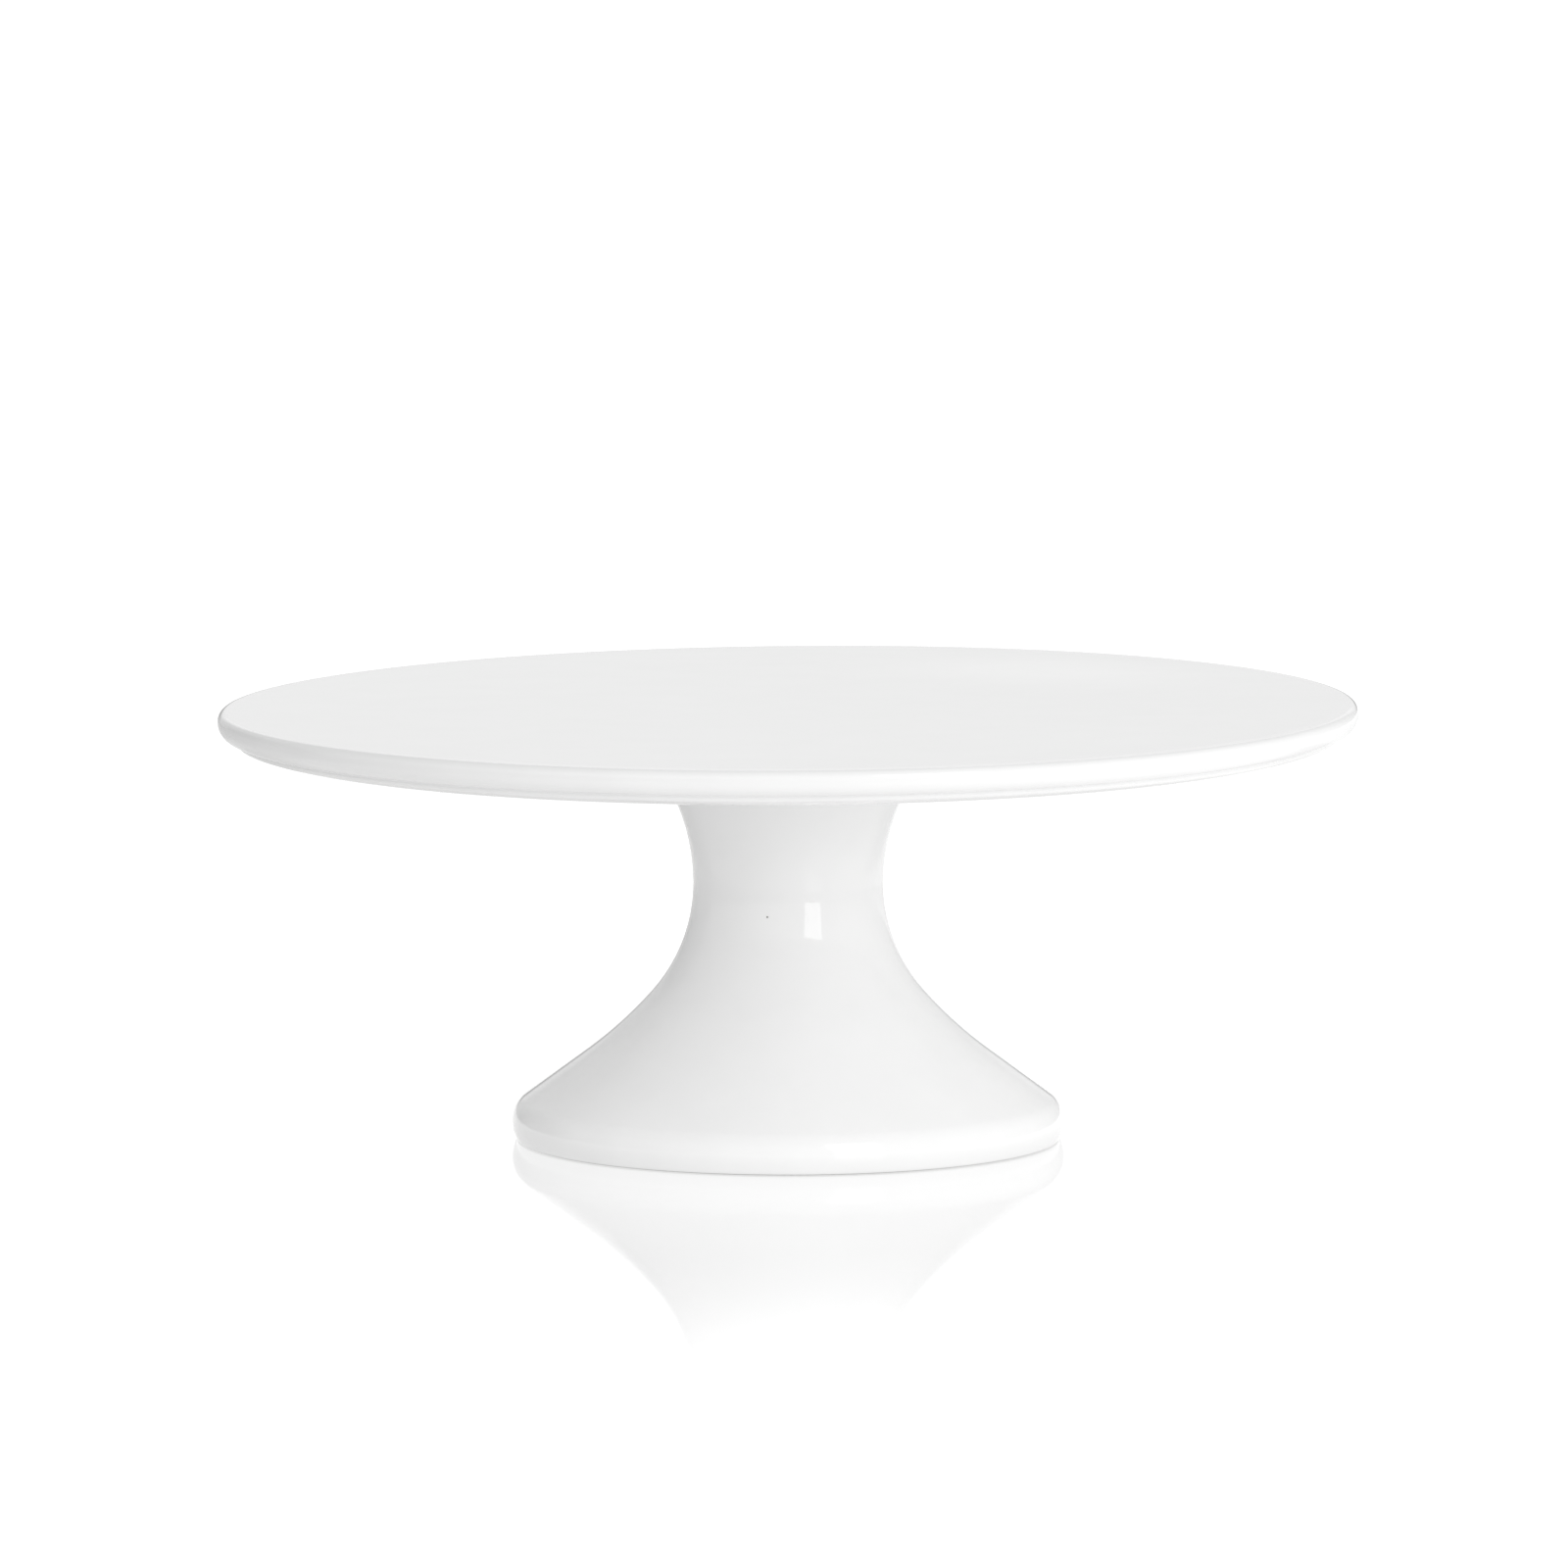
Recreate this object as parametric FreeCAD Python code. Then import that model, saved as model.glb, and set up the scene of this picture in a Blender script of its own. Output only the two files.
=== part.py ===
import FreeCAD, Part
import math
import os

# Pedestal cake stand in glazed porcelain: a plate bolted to a hollow, waisted foot.
# Millimetres, +Z up. The origin is on the stand's axis, at the table it stands on.

Vector = FreeCAD.Vector
UP = Vector(0, 0, 1)

# ---- Whole stand ----
stand_height = 115.0
plate_radius = 151.0

# ---- Plate edge: a rounded bead over a lower band that curves in to the underside ----
bead_height = 6.9
bead_top_rounding = 2.2
bead_under_rounding = 4.2
crease_rounding = 0.6
band_shoulder_rounding = 1.2
band_shoulder_turn = 70.0
underside_height = 104.6

# ---- Plate underside: a stiffening ring, a shallow recess and a centre boss ----
ring_width = 12.0
recess_depth = 3.2
recess_rounding = 6.0
boss_face_height = 101.0
boss_edge_rounding = 1.0
socket_radius = 7.0
socket_depth = 9.0

# ---- Pedestal: outer arcs from the neck's top down to the table ----
neck_top_height = 100.0
waist_radius = 25.2
waist_height = 68.5
neck_arc = 53.7
waist_arc = 44.3
waist_slope = 41.4
trumpet_arc = 111.4
trumpet_slope = 53.8
shoulder_rounding = 7.6
skirt_arc = 9.9
skirt_slope = 23.9
foot_edge_rounding = 1.7

# ---- Pedestal: inside ----
wall = 5.8
web_thickness = 7.0
web_hole_radius = 4.0
web_corner_rounding = 4.0
foot_ring_width = 8.2
foot_inner_rounding = 1.0
foot_root_rounding = 3.0

# ---- Bolted joint: M6 ----
gasket_radius = 33.4
gasket_hole_radius = 9.0
stud_radius = 3.0
thread_pitch = 1.0
thread_depth = 0.5
stud_end_height = 76.0
stud_head_radius = 5.8
stud_head_thickness = 2.5
head_cement = 0.6
cement_recess = 0.6
fit_gap = 0.02
cushion_radius = 12.0
cushion_thickness = 2.0
washer_radius = 9.0
washer_hole_radius = 3.2
washer_thickness = 1.6
lock_radius = 5.9
lock_hole_radius = 3.1
lock_thickness = 1.6
lock_split = 1.0
lock_split_slant = 20.0

# ---- Wing nut ----
hub_base_radius = 6.4
hub_end_radius = 4.9
hub_height = 8.0
wing_span = 32.0
wing_thickness = 2.6
wing_root_radius = 3.0
wing_tip_radius = 4.6
wing_root_reach = 3.6
wing_root_drop = 4.2
wing_tip_drop = 11.6
wing_edge_rounding = 0.8

# ---- Heights that follow from the stack ----
web_underside = neck_top_height - web_thickness
cushion_underside = web_underside - cushion_thickness
washer_underside = cushion_underside - washer_thickness
lock_underside = washer_underside - lock_thickness
socket_top = boss_face_height + socket_depth
stud_head_top = socket_top - head_cement


class Outline:
    """Half section in the XZ plane, drawn as straight runs and tangent arcs.

    A heading is in degrees: 0 points outwards and 90 points up. A positive turn bends left.
    """

    def __init__(self, radius, height, heading=0.0):
        self.start = Vector(radius, 0, height)
        self.point = self.start
        self.heading = heading
        self.edges = []

    def line(self, length):
        angle = math.radians(self.heading)
        end = self.point + Vector(math.cos(angle), 0, math.sin(angle)) * length
        self.edges.append(Part.LineSegment(self.point, end).toShape())
        self.point = end

    def line_to(self, radius, height):
        end = Vector(radius, 0, height)
        self.edges.append(Part.LineSegment(self.point, end).toShape())
        self.point = end

    def arc(self, radius, turn):
        side = math.copysign(90.0, turn)
        centre = self.point + polar(self.heading + side) * radius
        middle = centre + polar(self.heading - side + turn / 2) * radius
        end = centre + polar(self.heading - side + turn) * radius
        self.edges.append(Part.Arc(self.point, middle, end).toShape())
        self.point = end
        self.heading += turn

    def revolve(self):
        self.line_to(self.start.x, self.start.z)
        face = Part.Face(Part.Wire(self.edges))
        return face.revolve(Vector(0, 0, 0), UP, 360)


def polar(angle):
    """Unit vector in the XZ plane at an angle in degrees from +X."""
    return Vector(math.cos(math.radians(angle)), 0, math.sin(math.radians(angle)))


def cylinder(radius, low, high):
    return Part.makeCylinder(radius, high - low, Vector(0, 0, low))


def ring(radius, hole_radius, low, high):
    return cylinder(radius, low, high).cut(cylinder(hole_radius, low, high))


def round_circles(solid, rounding, circles):
    """Round the circular edges that lie at the given (radius, height) pairs."""
    found = []
    for edge in solid.Edges:
        if not isinstance(edge.Curve, Part.Circle):
            continue
        for radius, height in circles:
            same_radius = abs(edge.Curve.Radius - radius) < 0.01
            same_height = abs(edge.Curve.Center.z - height) < 0.01
            if same_radius and same_height:
                found.append(edge)
    return solid.makeFillet(rounding, found)


def neck_turn(height, offset=0.0):
    """Slope in degrees of the neck's arc at a height above the waist."""
    return math.degrees(math.asin((height - waist_height) / (neck_arc + offset)))


def neck_radius(height):
    """Radius of the pedestal's outer surface at a height above the waist."""
    lean = math.radians(neck_turn(height))
    return waist_radius + neck_arc * (1 - math.cos(lean))


def flank_drop():
    """Height of the straight run low on the trumpet: what the arcs leave of the waist's height."""
    waist_sin = math.sin(math.radians(waist_slope))
    trumpet_sin = math.sin(math.radians(trumpet_slope))
    skirt_sin = math.sin(math.radians(skirt_slope))
    arcs = waist_arc * waist_sin + trumpet_arc * (trumpet_sin - waist_sin)
    arcs += shoulder_rounding * trumpet_sin + skirt_arc * skirt_sin
    arcs += foot_edge_rounding * (1 - skirt_sin)
    return waist_height - arcs


def band_arc(height):
    """Radius of the arc that brings the band level at the underside, from where its shoulder ends."""
    return (height - underside_height) / (1 - math.sin(math.radians(band_shoulder_turn)))


def cake_plate():
    """Flat plate with a stepped, rounded edge and a blind socket in its centre boss."""
    section = Outline(0, stand_height)
    section.line(plate_radius - bead_top_rounding)
    section.arc(bead_top_rounding, -90)
    section.line(bead_height - bead_top_rounding - bead_under_rounding)
    section.arc(bead_under_rounding, -90)
    section.arc(crease_rounding, 90)
    section.arc(band_shoulder_rounding, -band_shoulder_turn)
    section.arc(band_arc(section.point.z), band_shoulder_turn - 90)
    section.line(ring_width)
    sweep = math.degrees(math.acos(1 - recess_depth / (2 * recess_rounding)))
    section.arc(recess_rounding, -sweep)
    section.arc(recess_rounding, sweep)
    # The boss carries on the flare of the neck below it, then fairs into the recess.
    lean = neck_turn(neck_top_height)
    boss_radius = neck_radius(neck_top_height)
    rise = underside_height + recess_depth - boss_face_height
    fairing = rise / (1 - math.sin(math.radians(lean)))
    boss_foot = boss_radius + fairing * math.cos(math.radians(lean))
    section.line(section.point.x - boss_foot)
    section.arc(fairing, 90 - lean)
    section.line_to(socket_radius, boss_face_height)
    section.line_to(socket_radius, socket_top)
    section.line_to(0, socket_top)
    plate = section.revolve()
    return round_circles(plate, boss_edge_rounding, [(boss_radius, boss_face_height)])


def pedestal():
    """Waisted trumpet foot, hollow and open below, closed at the neck by a drilled web."""
    arcs = [
        (neck_arc, neck_turn(neck_top_height)),
        (waist_arc, waist_slope),
        (trumpet_arc, trumpet_slope - waist_slope),
    ]
    section = Outline(web_hole_radius, neck_top_height)
    section.line_to(neck_radius(neck_top_height), neck_top_height)
    section.heading = -90 - neck_turn(neck_top_height)
    for radius, turn in arcs:
        section.arc(radius, turn)
    flank_top = section.point
    section.line(flank_drop() / math.cos(math.radians(trumpet_slope)))
    section.arc(shoulder_rounding, -trumpet_slope)
    section.arc(skirt_arc, -skirt_slope)
    section.arc(foot_edge_rounding, skirt_slope - 90)
    section.line(foot_ring_width)
    # Up the inside, which keeps one wall thickness from the outside above the foot ring.
    foot_inner = section.point.x
    flank_inner = flank_top - polar(trumpet_slope) * wall
    overhang = (foot_inner - flank_inner.x) / math.tan(math.radians(trumpet_slope))
    foot_root = flank_inner.z - overhang
    section.line_to(foot_inner, foot_root)
    section.line_to(flank_inner.x, flank_inner.z)
    section.heading = 90 + trumpet_slope
    section.arc(trumpet_arc + wall, waist_slope - trumpet_slope)
    section.arc(waist_arc + wall, -waist_slope)
    lean = neck_turn(web_underside - web_corner_rounding, wall + web_corner_rounding)
    section.arc(neck_arc + wall, -lean)
    section.arc(web_corner_rounding, 90 + lean)
    section.line_to(web_hole_radius, web_underside)
    foot = section.revolve()
    foot = round_circles(foot, foot_root_rounding, [(foot_inner, foot_root)])
    foot = round_circles(foot, foot_inner_rounding, [(foot_inner, 0)])
    top_edge = (neck_radius(neck_top_height), neck_top_height)
    return round_circles(foot, boss_edge_rounding, [top_edge])


def joint_gasket():
    """Soft ring between the plate's boss and the neck's top face."""
    return ring(gasket_radius, gasket_hole_radius, neck_top_height, boss_face_height)


def threaded_stud():
    """Flanged stud: plain in the socket, then threaded, drawn as evenly spaced ridges."""
    root = stud_radius - thread_depth
    threads = math.floor((boss_face_height - stud_end_height) / thread_pitch) - 1
    section = Outline(0, stud_head_top)
    section.line_to(stud_head_radius, stud_head_top)
    section.line_to(stud_head_radius, stud_head_top - stud_head_thickness)
    section.line_to(stud_radius, stud_head_top - stud_head_thickness)
    section.line_to(stud_radius, boss_face_height)
    for index in range(threads):
        crest = boss_face_height - index * thread_pitch
        section.line_to(root, crest - thread_pitch / 2)
        section.line_to(stud_radius, crest - thread_pitch)
    section.line_to(root, stud_end_height)
    section.line_to(0, stud_end_height)
    return section.revolve()


def stud_cement():
    """Cement that fills the socket around the stud and its head."""
    low = boss_face_height + cement_recess
    head_low = stud_head_top - stud_head_thickness
    fill = cylinder(socket_radius - fit_gap, low, socket_top)
    fill = fill.cut(cylinder(stud_radius + fit_gap, low, stud_head_top))
    return fill.cut(cylinder(stud_head_radius + fit_gap, head_low, stud_head_top))


def cushion_washer():
    """Soft washer that keeps the steel off the porcelain."""
    hole = stud_radius + 2 * fit_gap
    washer = ring(cushion_radius, hole, cushion_underside, web_underside)
    rims = [(cushion_radius, cushion_underside), (cushion_radius, web_underside)]
    return round_circles(washer, cushion_thickness / 4, rims)


def steel_washer():
    """Wide flat washer."""
    washer = ring(washer_radius, washer_hole_radius, washer_underside, cushion_underside)
    return round_circles(washer, washer_thickness / 8, [(washer_radius, washer_underside)])


def lock_washer():
    """Split spring washer, closed flat under the nut."""
    washer = ring(lock_radius, lock_hole_radius, lock_underside, washer_underside)
    tool_height = 3 * lock_thickness
    tool = Part.makeBox(lock_radius, lock_split, tool_height, Vector(0, -lock_split / 2, -tool_height / 2))
    tool.rotate(Vector(0, 0, 0), Vector(1, 0, 0), lock_split_slant)
    tool.translate(Vector(0, 0, lock_underside + lock_thickness / 2))
    return washer.cut(tool)


def wing(side):
    """One wing: two circles of different size joined by their outer tangents, as a plate."""
    root = Vector(side * wing_root_reach, 0, lock_underside - wing_root_drop)
    tip_reach = wing_span / 2 - wing_tip_radius
    tip = Vector(side * tip_reach, 0, lock_underside - wing_tip_drop)
    apart = tip - root
    heading = math.degrees(math.atan2(apart.z, apart.x))
    lean = math.degrees(math.acos((wing_root_radius - wing_tip_radius) / apart.Length))
    tip_low = tip + polar(heading - lean) * wing_tip_radius
    tip_end = tip + polar(heading) * wing_tip_radius
    tip_high = tip + polar(heading + lean) * wing_tip_radius
    root_high = root + polar(heading + lean) * wing_root_radius
    root_end = root - polar(heading) * wing_root_radius
    root_low = root + polar(heading - lean) * wing_root_radius
    edges = [
        Part.Arc(tip_low, tip_end, tip_high).toShape(),
        Part.LineSegment(tip_high, root_high).toShape(),
        Part.Arc(root_high, root_end, root_low).toShape(),
        Part.LineSegment(root_low, tip_low).toShape(),
    ]
    face = Part.Face(Part.Wire(edges))
    face.translate(Vector(0, -wing_thickness / 2, 0))
    plate = face.extrude(Vector(0, wing_thickness, 0))
    return plate.makeFillet(wing_edge_rounding, plate.Edges)


def wing_nut():
    """Tapered hub with two wings, hung under the lock washer."""
    hub_end = lock_underside - hub_height
    nut = Part.makeCone(hub_end_radius, hub_base_radius, hub_height, Vector(0, 0, hub_end))
    for side in (-1, 1):
        nut = nut.fuse(wing(side))
    bore = cylinder(stud_radius + fit_gap, hub_end - wing_span, lock_underside)
    return nut.cut(bore).removeSplitter()


PIECES = [
    cake_plate,
    pedestal,
    joint_gasket,
    threaded_stud,
    stud_cement,
    cushion_washer,
    steel_washer,
    lock_washer,
    wing_nut,
]

os.makedirs("parts", exist_ok=True)
for piece in PIECES:
    shape = piece()
    shape.exportStep("parts/" + piece.__name__ + ".step")
    box = shape.BoundBox
    print(piece.__name__, len(shape.Solids), shape.isValid(), round(shape.Volume),
          [round(value, 2) for value in (box.XMin, box.XMax, box.ZMin, box.ZMax)])
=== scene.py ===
import math

import bpy
import numpy as np
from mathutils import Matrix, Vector


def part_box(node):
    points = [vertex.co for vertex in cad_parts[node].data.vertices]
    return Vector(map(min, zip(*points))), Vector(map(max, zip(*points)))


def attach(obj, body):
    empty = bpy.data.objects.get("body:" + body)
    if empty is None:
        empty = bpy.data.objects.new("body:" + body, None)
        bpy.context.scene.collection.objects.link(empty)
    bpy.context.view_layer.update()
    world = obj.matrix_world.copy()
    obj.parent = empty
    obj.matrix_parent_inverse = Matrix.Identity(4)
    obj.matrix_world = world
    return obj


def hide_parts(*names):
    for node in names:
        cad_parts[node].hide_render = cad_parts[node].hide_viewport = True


# Looks of the porcelain cake stand: metres, +Z up, the same frame as the CAD model.
# The two porcelain pieces are lathed again here from the CAD's own arcs, fine enough for clean
# reflections, and the stud gets a true helical thread. The other pieces keep their CAD shapes.

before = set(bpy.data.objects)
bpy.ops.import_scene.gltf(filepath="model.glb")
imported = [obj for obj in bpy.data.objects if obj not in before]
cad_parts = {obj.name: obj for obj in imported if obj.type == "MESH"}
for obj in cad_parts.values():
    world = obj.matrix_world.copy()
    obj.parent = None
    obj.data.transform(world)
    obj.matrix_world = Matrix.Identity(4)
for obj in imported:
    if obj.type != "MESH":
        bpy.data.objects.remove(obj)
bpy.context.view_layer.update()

MM = 0.001
BODY = "root"

# ---- Sizes: the CAD's, read from the frame where it has them ----
plate_low, plate_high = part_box("cake_plate")
neck_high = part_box("pedestal")[1].z
stand_height = plate_high.z
plate_radius = plate_high.x

bead_height = 6.9 * MM
bead_top_rounding = 2.2 * MM
bead_under_rounding = 4.2 * MM
crease_rounding = 0.6 * MM
band_shoulder_rounding = 1.2 * MM
band_shoulder_turn = 70.0
underside_height = 104.6 * MM
ring_width = 12.0 * MM
recess_depth = 3.2 * MM
recess_rounding = 6.0 * MM
boss_edge_rounding = 1.0 * MM
socket_radius = 7.0 * MM
socket_depth = 9.0 * MM

waist_radius = 25.2 * MM
waist_height = 68.5 * MM
neck_arc = 53.7 * MM
waist_arc = 44.3 * MM
waist_slope = 41.4
trumpet_arc = 111.4 * MM
trumpet_slope = 53.8
shoulder_rounding = 7.6 * MM
skirt_arc = 9.9 * MM
skirt_slope = 23.9
foot_edge_rounding = 1.7 * MM
wall = 5.8 * MM
web_thickness = 7.0 * MM
web_hole_radius = 4.0 * MM
web_corner_rounding = 4.0 * MM
foot_ring_width = 8.2 * MM
foot_inner_rounding = 1.0 * MM
foot_root_rounding = 3.0 * MM
# Height of the foot's lowest band: bare porcelain, coloured dark as painted contact shade where it meets
# the floor.
unglazed_and_contact_shade_height = 0.3 * MM

stud_radius = 3.0 * MM
thread_pitch = 1.0 * MM
thread_depth = 0.5 * MM
stud_head_radius = 5.8 * MM
stud_head_thickness = 2.5 * MM

# ---- Warp of the plate: lift of the rim all round, lean towards +X and twist ----
warp_lift = 0.45 * MM
warp_across = 1.15 * MM
warp_twist = 0.45 * MM
warp_start = 0.27

# ---- Mesh fineness ----
arc_step = 4.0
fewest_arc_steps = 3
line_step = 4.0 * MM
corner_steps = 6
lathe_segments = 256
thread_segments = 48
thread_steps = 8
sharp_angle = math.radians(40)
axis_reach = 1e-9


# ---- Outlines ----
class Outline:
    """Half section as (radius, height) points along straight runs and tangent arcs.

    A heading is in degrees: 0 points outwards and 90 points up. A positive turn bends left.
    """

    def __init__(self, radius, height, heading=0.0):
        self.points = [(radius, height)]
        self.heading = heading

    @property
    def radius(self):
        return self.points[-1][0]

    @property
    def height(self):
        return self.points[-1][1]

    def line_to(self, radius, height):
        r0, z0 = self.points[-1]
        steps = max(1, math.ceil(math.hypot(radius - r0, height - z0) / line_step))
        for i in range(1, steps + 1):
            self.points.append((r0 + (radius - r0) * i / steps, z0 + (height - z0) * i / steps))

    def line(self, length):
        angle = math.radians(self.heading)
        self.line_to(self.radius + length * math.cos(angle), self.height + length * math.sin(angle))

    def arc(self, radius, turn):
        side = math.copysign(90.0, turn)
        normal = math.radians(self.heading + side)
        centre_r = self.radius + radius * math.cos(normal)
        centre_z = self.height + radius * math.sin(normal)
        length = radius * math.radians(abs(turn))
        steps = max(fewest_arc_steps, math.ceil(abs(turn) / arc_step), math.ceil(length / line_step))
        for i in range(1, steps + 1):
            angle = math.radians(self.heading - side + turn * i / steps)
            self.points.append((centre_r + radius * math.cos(angle), centre_z + radius * math.sin(angle)))
        self.heading += turn


def sine(degrees):
    return math.sin(math.radians(degrees))


def cosine(degrees):
    return math.cos(math.radians(degrees))


def neck_turn(height, offset=0.0):
    """Lean of the neck's arc at a height, in degrees, with the arc's radius larger by `offset`."""
    return math.degrees(math.asin((height - waist_height) / (neck_arc + offset)))


def neck_radius(height):
    return waist_radius + neck_arc * (1 - cosine(neck_turn(height)))


def round_corner(points, corner, radius):
    """The outline with an arc in place of its point nearest to `corner`."""
    index = min(range(len(points)), key=lambda i: math.dist(points[i], corner))
    before, tip, after = (Vector(points[i]) for i in (index - 1, index, index + 1))
    to_before = (before - tip).normalized()
    to_after = (after - tip).normalized()
    half = to_before.angle(to_after) / 2
    centre = tip + (to_before + to_after).normalized() * radius / math.sin(half)
    reach = radius / math.tan(half)
    first = tip + to_before * reach - centre
    last = tip + to_after * reach - centre
    turn = first.angle(last)
    arc = []
    for i in range(corner_steps + 1):
        share = i / corner_steps
        blend = first * math.sin((1 - share) * turn) + last * math.sin(share * turn)
        arc.append(tuple(centre + blend / math.sin(turn)))
    return points[:index] + arc + points[index + 1:]


def plate_outline():
    """From the centre of the top round the edge, along the underside and into the socket."""
    boss_face = plate_low.z
    section = Outline(0, stand_height)
    section.line(plate_radius - bead_top_rounding)
    section.arc(bead_top_rounding, -90)
    section.line(bead_height - bead_top_rounding - bead_under_rounding)
    section.arc(bead_under_rounding, -90)
    section.arc(crease_rounding, 90)
    section.arc(band_shoulder_rounding, -band_shoulder_turn)
    band_arc = (section.height - underside_height) / (1 - sine(band_shoulder_turn))
    section.arc(band_arc, band_shoulder_turn - 90)
    section.line(ring_width)
    sweep = math.degrees(math.acos(1 - recess_depth / (2 * recess_rounding)))
    section.arc(recess_rounding, -sweep)
    section.arc(recess_rounding, sweep)
    lean = neck_turn(neck_high)
    fairing = (section.height - boss_face) / (1 - sine(lean))
    boss_radius = neck_radius(neck_high)
    section.line(section.radius - boss_radius - fairing * cosine(lean))
    section.arc(fairing, 90 - lean)
    section.line_to(socket_radius, boss_face)
    section.line_to(socket_radius, boss_face + socket_depth)
    section.line_to(0, boss_face + socket_depth)
    return round_corner(section.points, (boss_radius, boss_face), boss_edge_rounding)


def draw_outside(section):
    """The pedestal's outside, from the neck's top to the foot ring's inner edge.

    Gives back the point where the trumpet's arc ends and its straight flank begins.
    """
    drops = waist_arc * sine(waist_slope) + trumpet_arc * (sine(trumpet_slope) - sine(waist_slope))
    drops += shoulder_rounding * sine(trumpet_slope) + skirt_arc * sine(skirt_slope)
    drops += foot_edge_rounding * (1 - sine(skirt_slope))
    section.line_to(neck_radius(neck_high), neck_high)
    section.heading = -90 - neck_turn(neck_high)
    section.arc(neck_arc, neck_turn(neck_high))
    section.arc(waist_arc, waist_slope)
    section.arc(trumpet_arc, trumpet_slope - waist_slope)
    flank_top = section.points[-1]
    section.line((waist_height - drops) / cosine(trumpet_slope))
    section.arc(shoulder_rounding, -trumpet_slope)
    section.arc(skirt_arc, -skirt_slope)
    section.arc(foot_edge_rounding, skirt_slope - 90)
    section.line(foot_ring_width)
    return flank_top


def draw_inside(section, flank_top):
    """The pedestal's inside, one wall in from the outside, up to the web and its hole."""
    inner_r = flank_top[0] - wall * cosine(trumpet_slope)
    inner_z = flank_top[1] - wall * sine(trumpet_slope)
    root = inner_z - (section.radius - inner_r) * cosine(trumpet_slope) / sine(trumpet_slope)
    tangent = foot_root_rounding * sine(trumpet_slope / 2) / cosine(trumpet_slope / 2)
    section.line_to(section.radius, root - tangent)
    section.heading = 90
    section.arc(foot_root_rounding, trumpet_slope)
    section.line_to(inner_r, inner_z)
    section.arc(trumpet_arc + wall, waist_slope - trumpet_slope)
    section.arc(waist_arc + wall, -waist_slope)
    web_low = neck_high - web_thickness
    lean = neck_turn(web_low - web_corner_rounding, wall + web_corner_rounding)
    section.arc(neck_arc + wall, -lean)
    section.arc(web_corner_rounding, 90 + lean)
    section.line_to(web_hole_radius, web_low)
    section.line_to(web_hole_radius, neck_high)


def pedestal_outline():
    section = Outline(web_hole_radius, neck_high)
    flank_top = draw_outside(section)
    foot_inner = section.radius
    draw_inside(section, flank_top)
    points = round_corner(section.points[:-1], (foot_inner, 0), foot_inner_rounding)
    return round_corner(points, (neck_radius(neck_high), neck_high), boss_edge_rounding)


def stud_outline():
    """The stud's head and shank. Below the plate's face its points are close enough for a thread."""
    low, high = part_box("threaded_stud")
    shoulder = high.z - stud_head_thickness
    section = Outline(0, high.z)
    section.line_to(stud_head_radius, high.z)
    section.line_to(stud_head_radius, shoulder)
    section.line_to(stud_radius, shoulder)
    section.line_to(stud_radius, plate_low.z)
    steps = round((plate_low.z - low.z) / thread_pitch) * thread_steps
    for i in range(1, steps + 1):
        section.points.append((stud_radius, plate_low.z + (low.z - plate_low.z) * i / steps))
    section.line_to(0, low.z)
    return section.points


# ---- Meshes ----
def lathe(name, outline, closed, segments=lathe_segments):
    """Mesh of revolution round Z. An open outline starts and ends on the axis."""
    vertices = []
    rings = []
    for radius, height in outline:
        first = len(vertices)
        if radius < axis_reach:
            vertices.append((0.0, 0.0, height))
            rings.append([first] * segments)
            continue
        for k in range(segments):
            angle = 2 * math.pi * k / segments
            vertices.append((radius * math.cos(angle), radius * math.sin(angle), height))
        rings.append(list(range(first, first + segments)))
    faces = []
    pairs = list(zip(rings, rings[1:]))
    if closed:
        pairs.append((rings[-1], rings[0]))
    for upper, lower in pairs:
        for k in range(segments):
            j = (k + 1) % segments
            corners = [upper[k], lower[k], lower[j], upper[j]]
            faces.append(list(dict.fromkeys(corners)))
    mesh = bpy.data.meshes.new(name)
    mesh.from_pydata(vertices, [], faces)
    mesh.validate()
    mesh.shade_smooth()
    mesh.set_sharp_from_angle(angle=sharp_angle)
    piece = bpy.data.objects.new(name, mesh)
    bpy.context.scene.collection.objects.link(piece)
    return piece


def warp_plate(piece):
    """The slight warp that firing leaves: the rim is lifted, leans to one side and twists a little."""
    co = np.empty(len(piece.data.vertices) * 3)
    piece.data.vertices.foreach_get("co", co)
    co = co.reshape(-1, 3)
    across = co[:, 0] / plate_radius
    along = co[:, 1] / plate_radius
    spread = np.clip((np.hypot(across, along) - warp_start) / (1 - warp_start), 0, 1)
    spread = spread * spread * (3 - 2 * spread)
    co[:, 2] += spread * (warp_lift + warp_across * across + warp_twist * across * along)
    piece.data.vertices.foreach_set("co", co.ravel())
    piece.data.update()


def cut_thread(piece):
    """Cut a right-hand helical thread, fading out at the plate's face and at the lower end."""
    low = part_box("threaded_stud")[0]
    for vertex in piece.data.vertices:
        x, y, z = vertex.co
        reach = math.hypot(x, y)
        if reach < thread_depth or z > plate_low.z:
            continue
        phase = (z / thread_pitch - math.atan2(y, x) / (2 * math.pi)) % 1
        groove = thread_depth * (1 - abs(2 * phase - 1))
        upper_fade = min(1, (plate_low.z - z) / thread_pitch)
        chamfer = max(0, low.z + thread_pitch - z) / thread_pitch * thread_depth
        cut = max(groove * upper_fade, chamfer)
        vertex.co.x -= x / reach * cut
        vertex.co.y -= y / reach * cut
    piece.data.shade_smooth()
    piece.data.set_sharp_from_angle(angle=sharp_angle)


# ---- Materials ----
speck_place = (-5.5 * MM, -25.1 * MM, 62.2 * MM)
speck_size = 0.32 * MM
speck_colour = (0.12, 0.11, 0.1)


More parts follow.
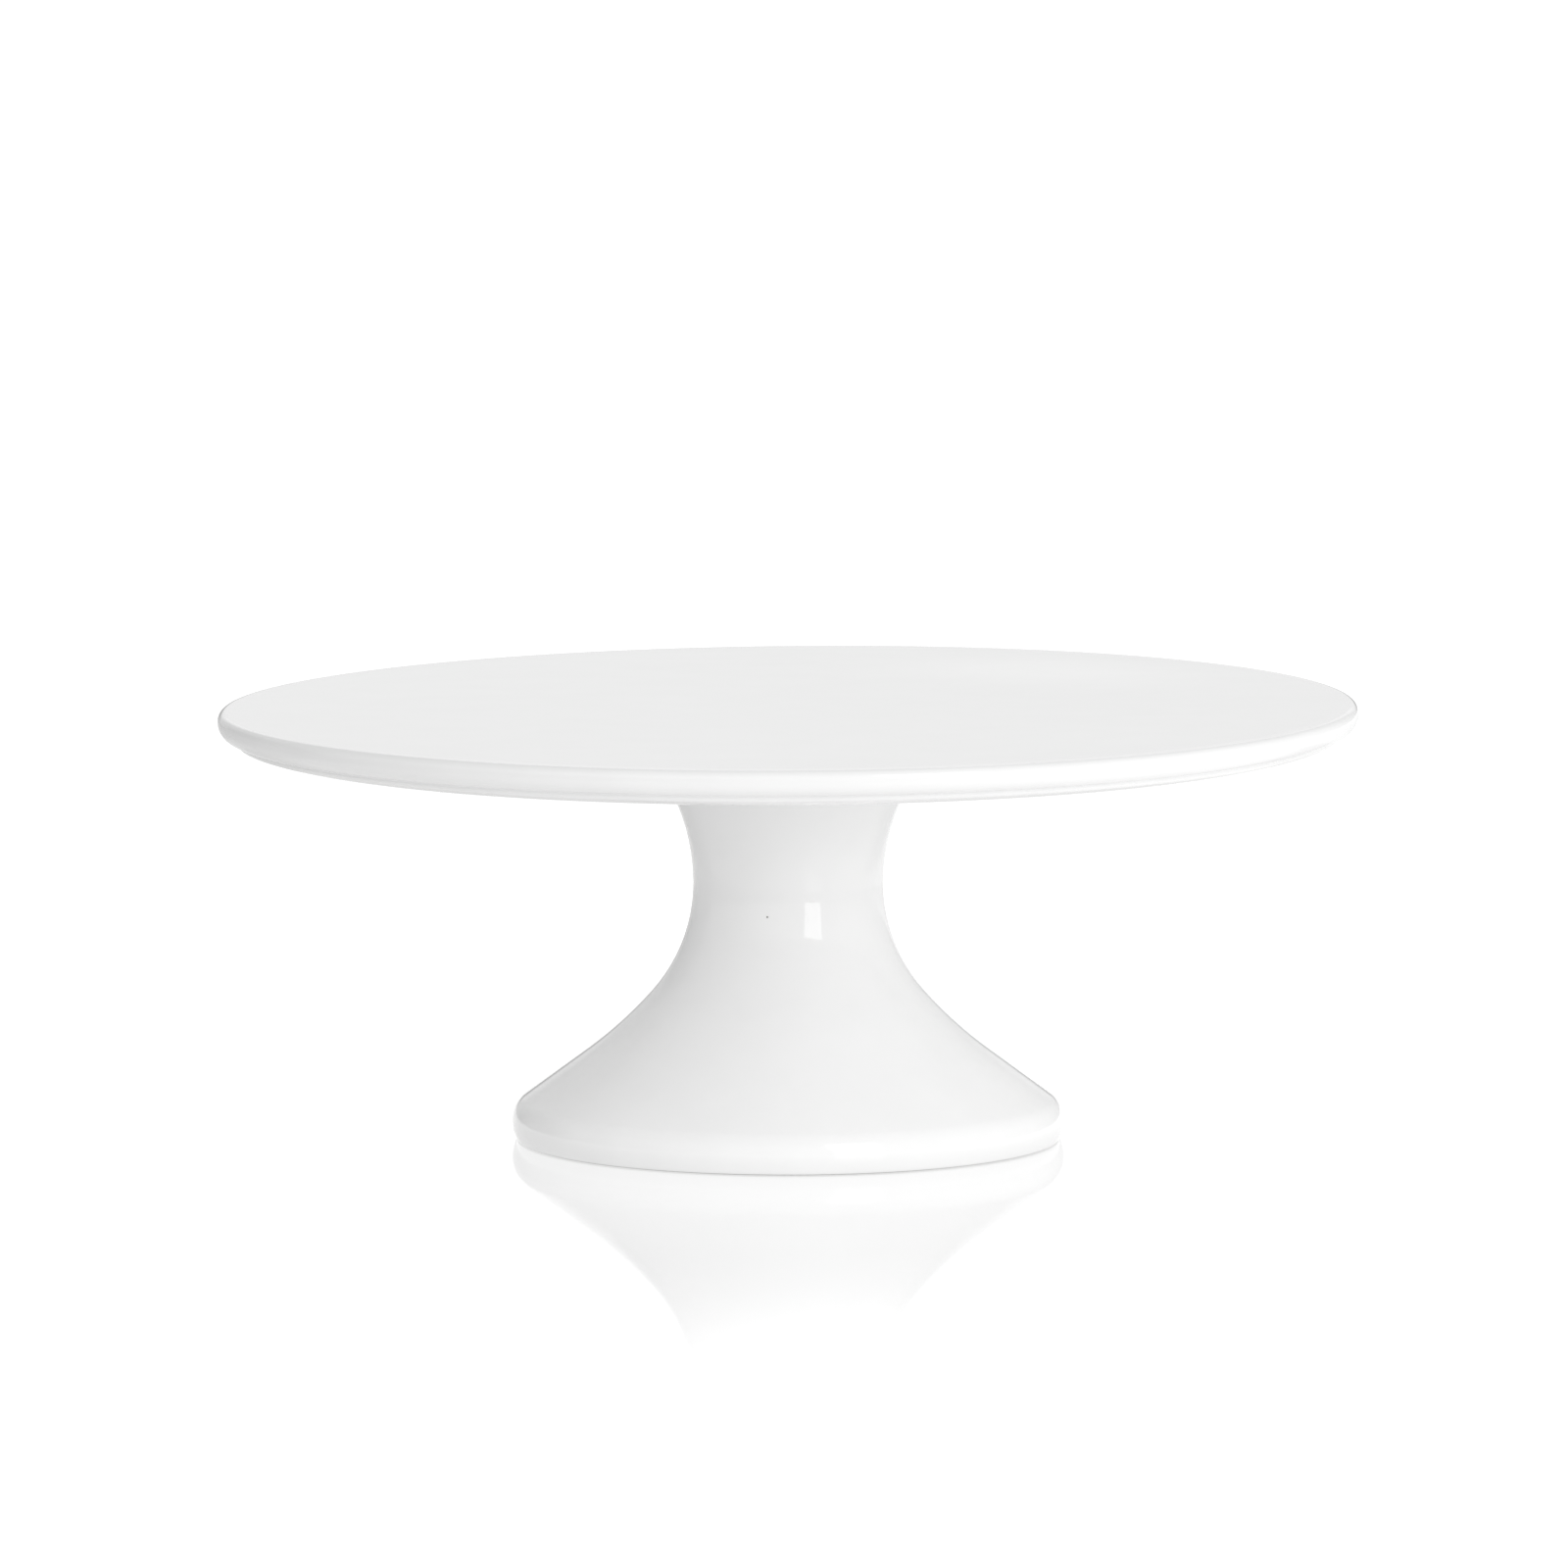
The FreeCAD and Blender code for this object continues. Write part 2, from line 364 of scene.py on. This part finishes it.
class Shader:
    """A Principled material and short calls for the nodes that drive it."""

    def __init__(self, name):
        self.material = bpy.data.materials.new(name)
        self.material.use_nodes = True
        self.nodes = self.material.node_tree.nodes
        self.links = self.material.node_tree.links
        self.surface = self.nodes["Principled BSDF"]
        self.place = self.nodes.new("ShaderNodeTexCoord").outputs["Object"]

    def set(self, **values):
        for socket, value in values.items():
            self.surface.inputs[socket.replace("_", " ")].default_value = value

    def noise(self, size, detail=3.0, roughness=0.5, stretch=(1, 1, 1)):
        """Noise whose largest features are about `size` metres."""
        mapping = self.nodes.new("ShaderNodeMapping")
        mapping.inputs["Scale"].default_value = stretch
        self.links.new(self.place, mapping.inputs["Vector"])
        texture = self.nodes.new("ShaderNodeTexNoise")
        texture.inputs["Scale"].default_value = 1 / size
        texture.inputs["Detail"].default_value = detail
        texture.inputs["Roughness"].default_value = roughness
        self.links.new(mapping.outputs["Vector"], texture.inputs["Vector"])
        return texture.outputs["Fac"]

    def ramp(self, value, low, high, start=0.3, end=0.7):
        """Colours from `low` to `high` as value goes from start to end."""
        node = self.nodes.new("ShaderNodeValToRGB")
        node.color_ramp.elements[0].position = start
        node.color_ramp.elements[0].color = (*low, 1)
        node.color_ramp.elements[1].position = end
        node.color_ramp.elements[1].color = (*high, 1)
        self.links.new(value, node.inputs["Fac"])
        return node.outputs["Color"]

    def remap(self, value, low, high, start=0.0, end=1.0):
        """A number from `low` to `high` as value goes from start to end."""
        node = self.nodes.new("ShaderNodeMapRange")
        node.inputs["From Min"].default_value = start
        node.inputs["From Max"].default_value = end
        node.inputs["To Min"].default_value = low
        node.inputs["To Max"].default_value = high
        self.links.new(value, node.inputs["Value"])
        return node.outputs["Result"]

    def tint(self, fac, body, colour):
        """The colour socket `body` where fac is 0 and the plain `colour` where it is 1."""
        node = self.nodes.new("ShaderNodeMix")
        node.data_type = "RGBA"
        self.links.new(fac, node.inputs["Factor"])
        sockets = {i.name: i for i in node.inputs if i.type == "RGBA"}
        self.links.new(body, sockets["A"])
        sockets["B"].default_value = (*colour, 1)
        return [o for o in node.outputs if o.type == "RGBA"][0]

    def bump(self, *layers):
        """Stacked bump layers, each (height value, depth in metres)."""
        normal = None
        for value, depth in layers:
            node = self.nodes.new("ShaderNodeBump")
            node.inputs["Distance"].default_value = depth
            self.links.new(value, node.inputs["Height"])
            if normal is not None:
                self.links.new(normal, node.inputs["Normal"])
            normal = node.outputs["Normal"]
        self.links.new(normal, self.surface.inputs["Normal"])

    def drive(self, socket, value):
        self.links.new(value, self.surface.inputs[socket])


def glaze_material():
    """Clear gloss glaze over white porcelain: slight mottling, faint waviness and one iron speck."""
    shader = Shader("porcelain_glaze")
    shader.set(IOR=1.5)
    mottling = shader.noise(size=18 * MM, detail=4)
    body = shader.ramp(mottling, low=(0.858, 0.858, 0.857), high=(0.87, 0.87, 0.869), start=0.35, end=0.65)
    away = shader.nodes.new("ShaderNodeVectorMath")
    away.operation = "DISTANCE"
    shader.links.new(shader.place, away.inputs[0])
    away.inputs[1].default_value = speck_place
    speck = shader.remap(away.outputs["Value"], low=1, high=0, start=speck_size / 2, end=speck_size)
    shader.drive("Base Color", shader.tint(speck, body, speck_colour))
    shader.drive("Roughness", shader.remap(shader.noise(size=8 * MM), low=0.03, high=0.05))
    waves = shader.noise(size=45 * MM, detail=1)
    ripple = shader.noise(size=1.6 * MM, detail=1)
    shader.bump((waves, 0.022 * MM), (ripple, 0.0008 * MM))
    return shader.material


def bisque_and_contact_shade_material():
    """Bare fired porcelain on the foot ring: matt, with a fine grain. Its dark grey is partly the bare
    body and partly painted contact shade along the floor.
    """
    shader = Shader("porcelain_bisque_and_contact_shade")
    shader.set(IOR=1.45)
    grain = shader.noise(size=0.6 * MM, detail=5, roughness=0.7)
    # These greys are darker than bare porcelain: painted contact shade.
    shader.drive("Base Color", shader.ramp(grain, low=(0.42, 0.42, 0.41), high=(0.6, 0.6, 0.59)))
    shader.drive("Roughness", shader.remap(shader.noise(size=3 * MM), low=0.65, high=0.85))
    shader.bump((grain, 0.025 * MM))
    return shader.material


def silicone_material():
    """Milky silicone rubber with a slightly dusty surface."""
    shader = Shader("silicone")
    shader.set(IOR=1.41, Subsurface_Weight=0.25, Subsurface_Scale=1.5 * MM)
    dust = shader.noise(size=5 * MM, detail=4, roughness=0.6)
    shader.drive("Base Color", shader.ramp(dust, low=(0.66, 0.66, 0.64), high=(0.76, 0.76, 0.74)))
    shader.drive("Roughness", shader.remap(dust, low=0.38, high=0.6))
    shader.bump((shader.noise(size=0.5 * MM), 0.008 * MM))
    return shader.material


def steel_material():
    """Zinc-plated steel with fine turning marks and duller patches."""
    shader = Shader("steel")
    shader.set(Metallic=1.0, IOR=2.5)
    patches = shader.noise(size=4 * MM, detail=4, roughness=0.6)
    marks = shader.noise(size=2 * MM, detail=2, roughness=0.6, stretch=(1, 1, 14))
    shader.drive("Base Color", shader.ramp(patches, low=(0.52, 0.52, 0.5), high=(0.7, 0.7, 0.68)))
    shader.drive("Roughness", shader.remap(marks, low=0.22, high=0.45))
    shader.bump((marks, 0.006 * MM))
    return shader.material


def cement_material():
    """Grey-beige setting cement, gritty and matt."""
    shader = Shader("cement")
    grit = shader.noise(size=0.9 * MM, detail=6, roughness=0.7)
    shader.drive("Base Color", shader.ramp(grit, low=(0.42, 0.41, 0.38), high=(0.62, 0.6, 0.56)))
    shader.drive("Roughness", shader.remap(grit, low=0.75, high=0.95))
    shader.bump((grit, 0.06 * MM))
    return shader.material


# ---- Pieces ----
def keep_node(name, material):
    """A CAD node that is shown as it is, with its finished material."""
    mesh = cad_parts[name].data
    mesh.materials.clear()
    mesh.materials.append(material)


def place_piece(piece, node, slot, *materials):
    for material in materials:
        piece.data.materials.append(material)
    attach(piece, BODY)
    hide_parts(node)


glaze = glaze_material()
bisque_and_contact_shade = bisque_and_contact_shade_material()
silicone = silicone_material()
steel = steel_material()
cement = cement_material()

plate = lathe("plate_glazed", plate_outline(), closed=False)
warp_plate(plate)
place_piece(plate, "cake_plate", "porcelain_glaze", glaze)

foot = lathe("pedestal_glazed", pedestal_outline(), closed=True)
place_piece(foot, "pedestal", "porcelain_glaze", glaze, bisque_and_contact_shade)
# The foot's lowest band takes the dark bisque: bare porcelain, and painted contact shade along the floor.
for polygon in foot.data.polygons:
    if polygon.center.z < unglazed_and_contact_shade_height:
        polygon.material_index = 1

stud = lathe("stud_threaded", stud_outline(), closed=False, segments=thread_segments)
cut_thread(stud)
place_piece(stud, "threaded_stud", "steel", steel)

keep_node("joint_gasket", silicone)
keep_node("cushion_washer", silicone)
keep_node("steel_washer", steel)
keep_node("lock_washer", steel)
keep_node("wing_nut", steel)
keep_node("stud_cement", cement)


# ---- Studio ----
# Strengths are of emitted light, and 1 shows as plain white. A value changes from one strength to
# another over a range: on the floor in metres along X or Y or out from the stand, and in the
# surround along a part of the direction's unit vector.

# The light table as the camera sees it: glossy near the stand, plain white further out.
floor_size = 12.0
floor_grey = 0.1
floor_roughness = 0.03
floor_ior = 1.26
floor_gloss = 0.5
floor_seen = 0.555
gloss_range = (0.2, 0.6)

# The light that the table gives: dimmer under and behind the stand, and dimmer on the left.
sheet_left = 0.75
sheet_right = 1.04
sheet_range = (-0.3, 0.3)
under_plate = 0.83
under_range = (0.07, 0.24)
sheet_rear = 0.65
rear_range = (0.03, 0.15)
beyond_left = 0.45
beyond_right = 1.0
beyond_range = (-0.8, 0.8)
sheet_edge = (0.34, 0.4)

# The surround: white to the camera, and for every other ray dim on one side, in a corner and overhead.
backdrop_strength = 1.05
bright_from = (0.6, -0.79, 0.1)
dim_side = 0.68
bright_side = 1.14
side_range = (-1.0, 0.8)
dark_corner = (-0.743, 0.669, 0.0)
dark_loss = 0.38
dark_range = (0.85, 0.96)
zenith_loss = 0.38
zenith_range = (0.3, 0.95)

# The panel behind the stand: dark at its foot, and brighter above the part that the plate mirrors.
panel_width = (0.965, 0.995)
panel_height = (0.6, 0.95)
panel_foot = 0.3
panel_foot_range = (0.01, 0.095)
panel_low = 0.97
panel_high = 1.08
panel_step = (0.122, 0.14)

camera_place = (0, -4.0, 0.56)
camera_aim = (-0.0011, 0, 0.0946)
camera_lens = 349
camera_sensor = 36
camera_clip = 100

WHITE = (1, 1, 1, 1)
LEVEL = (1, 1, 0)


class Graph:
    """Short calls for the maths nodes of a world or a material."""

    def __init__(self, tree):
        self.nodes = tree.nodes
        self.links = tree.links

    def split(self, vector):
        node = self.nodes.new("ShaderNodeSeparateXYZ")
        self.links.new(vector, node.inputs["Vector"])
        return node.outputs

    def vector(self, operation, first, second=None, output="Vector"):
        node = self.nodes.new("ShaderNodeVectorMath")
        node.operation = operation
        self.links.new(first, node.inputs[0])
        if second is not None:
            node.inputs[1].default_value = second
        return node.outputs[output]

    def dot(self, first, second):
        return self.vector("DOT_PRODUCT", first, second, "Value")

    def times(self, first, second):
        node = self.nodes.new("ShaderNodeMath")
        node.operation = "MULTIPLY"
        self.links.new(first, node.inputs[0])
        self.links.new(second, node.inputs[1])
        return node.outputs["Value"]

    def mix(self, fac, first, second):
        """Numbers mixed by fac: `first` at 0, `second` at 1."""
        node = self.nodes.new("ShaderNodeMix")
        self.links.new(fac, node.inputs["Factor"])
        self.links.new(first, node.inputs["A"])
        self.links.new(second, node.inputs["B"])
        return node.outputs["Result"]

    def smooth(self, value, span, low, high):
        """From `low` to `high` as value goes along the span, with soft ends."""
        node = self.nodes.new("ShaderNodeMapRange")
        node.interpolation_type = "SMOOTHSTEP"
        node.inputs["From Min"].default_value = span[0]
        node.inputs["From Max"].default_value = span[1]
        node.inputs["To Min"].default_value = low
        node.inputs["To Max"].default_value = high
        self.links.new(value, node.inputs["Value"])
        return node.outputs["Result"]


def floor_material():
    """Glossy white light table. Its gloss fades away from the stand."""
    shader = Shader("floor_acrylic")
    shader.set(IOR=floor_ior, Roughness=floor_roughness)
    shader.surface.inputs["Base Color"].default_value = (floor_grey, floor_grey, floor_grey, 1)
    shader.surface.inputs["Emission Color"].default_value = WHITE
    graph = Graph(shader.material.node_tree)
    reach = graph.vector("LENGTH", shader.place, output="Value")
    shader.drive("Specular IOR Level", graph.smooth(reach, gloss_range, floor_gloss, 0.0))
    seen = graph.smooth(reach, gloss_range, floor_seen, backdrop_strength)
    parts = graph.split(shader.place)
    lit = graph.smooth(parts["X"], sheet_range, sheet_left, sheet_right)
    shade = graph.smooth(reach, under_range, under_plate, 1.0)
    rear = graph.smooth(parts["Y"], rear_range, 1.0, sheet_rear)
    close = graph.times(graph.times(lit, shade), rear)
    beyond = graph.smooth(parts["X"], beyond_range, beyond_left, beyond_right)
    sheet = graph.mix(graph.smooth(reach, sheet_edge, 0.0, 1.0), close, beyond)
    to_camera = graph.nodes.new("ShaderNodeLightPath").outputs["Is Camera Ray"]
    shader.drive("Emission Strength", graph.mix(to_camera, sheet, seen))
    return shader.material


def studio_floor():
    bpy.ops.mesh.primitive_plane_add(size=floor_size)
    floor = bpy.context.object
    floor.name = "floor"
    floor.data.materials.append(floor_material())


def surround_strength(graph, toward):
    """Strength of the surround in the direction `toward`, as every ray but the camera's sees it."""
    parts = graph.split(toward)
    side = graph.smooth(graph.dot(toward, bright_from), side_range, dim_side, bright_side)
    corner = graph.smooth(graph.dot(toward, dark_corner), dark_range, 1.0, 1 - dark_loss)
    overhead = graph.smooth(parts["Z"], zenith_range, 1.0, 1 - zenith_loss)
    around = graph.times(graph.times(side, corner), overhead)
    level = graph.vector("NORMALIZE", graph.vector("MULTIPLY", toward, LEVEL))
    behind = graph.times(
        graph.smooth(graph.split(level)["Y"], panel_width, 0.0, 1.0),
        graph.smooth(parts["Z"], panel_height, 1.0, 0.0),
    )
    panel = graph.times(
        graph.smooth(parts["Z"], panel_step, panel_low, panel_high),
        graph.smooth(parts["Z"], panel_foot_range, panel_foot, 1.0),
    )
    return graph.mix(behind, around, panel)


def studio_world():
    """Plain white background, with the surround's own strengths for every ray but the camera's."""
    world = bpy.data.worlds.new("studio")
    bpy.context.scene.world = world
    world.use_nodes = True
    graph = Graph(world.node_tree)
    nodes = graph.nodes
    links = graph.links
    backdrop = nodes["Background"]
    backdrop.inputs["Color"].default_value = WHITE
    backdrop.inputs["Strength"].default_value = backdrop_strength
    surround = nodes.new("ShaderNodeBackground")
    surround.inputs["Color"].default_value = WHITE
    toward = nodes.new("ShaderNodeTexCoord").outputs["Generated"]
    links.new(surround_strength(graph, toward), surround.inputs["Strength"])
    blend = nodes.new("ShaderNodeMixShader")
    links.new(nodes.new("ShaderNodeLightPath").outputs["Is Camera Ray"], blend.inputs["Fac"])
    links.new(surround.outputs["Background"], blend.inputs[1])
    links.new(backdrop.outputs["Background"], blend.inputs[2])
    links.new(blend.outputs["Shader"], nodes["World Output"].inputs["Surface"])


def softbox(name, azimuth, elevation, distance, width, height, power):
    """Rectangular soft light aimed at the stand. Azimuth 0 is the camera's side, positive to its right."""
    light = bpy.data.lights.new(name, "AREA")
    light.shape = "RECTANGLE"
    light.size = width
    light.size_y = height
    light.energy = power
    box = bpy.data.objects.new(name, light)
    box.location = distance * Vector((
        sine(azimuth) * cosine(elevation),
        -cosine(azimuth) * cosine(elevation),
        sine(elevation),
    ))
    aim = Vector((0, 0, stand_height / 2)) - box.location
    box.rotation_euler = aim.to_track_quat("-Z", "Y").to_euler()
    box.visible_camera = False
    bpy.context.scene.collection.objects.link(box)


def camera():
    """Long lens, a little above the plate, as the photograph was taken."""
    data = bpy.data.cameras.new("camera")
    data.lens = camera_lens
    data.sensor_width = camera_sensor
    data.clip_end = camera_clip
    view = bpy.data.objects.new("camera", data)
    view.location = camera_place
    aim = Vector(camera_aim) - view.location
    view.rotation_euler = aim.to_track_quat("-Z", "Y").to_euler()
    bpy.context.scene.collection.objects.link(view)
    bpy.context.scene.camera = view


studio_floor()
studio_world()
softbox("window_right", azimuth=29.6, elevation=20, distance=5, width=1.75, height=4, power=55)
camera()

bpy.context.scene.view_settings.view_transform = "Standard"
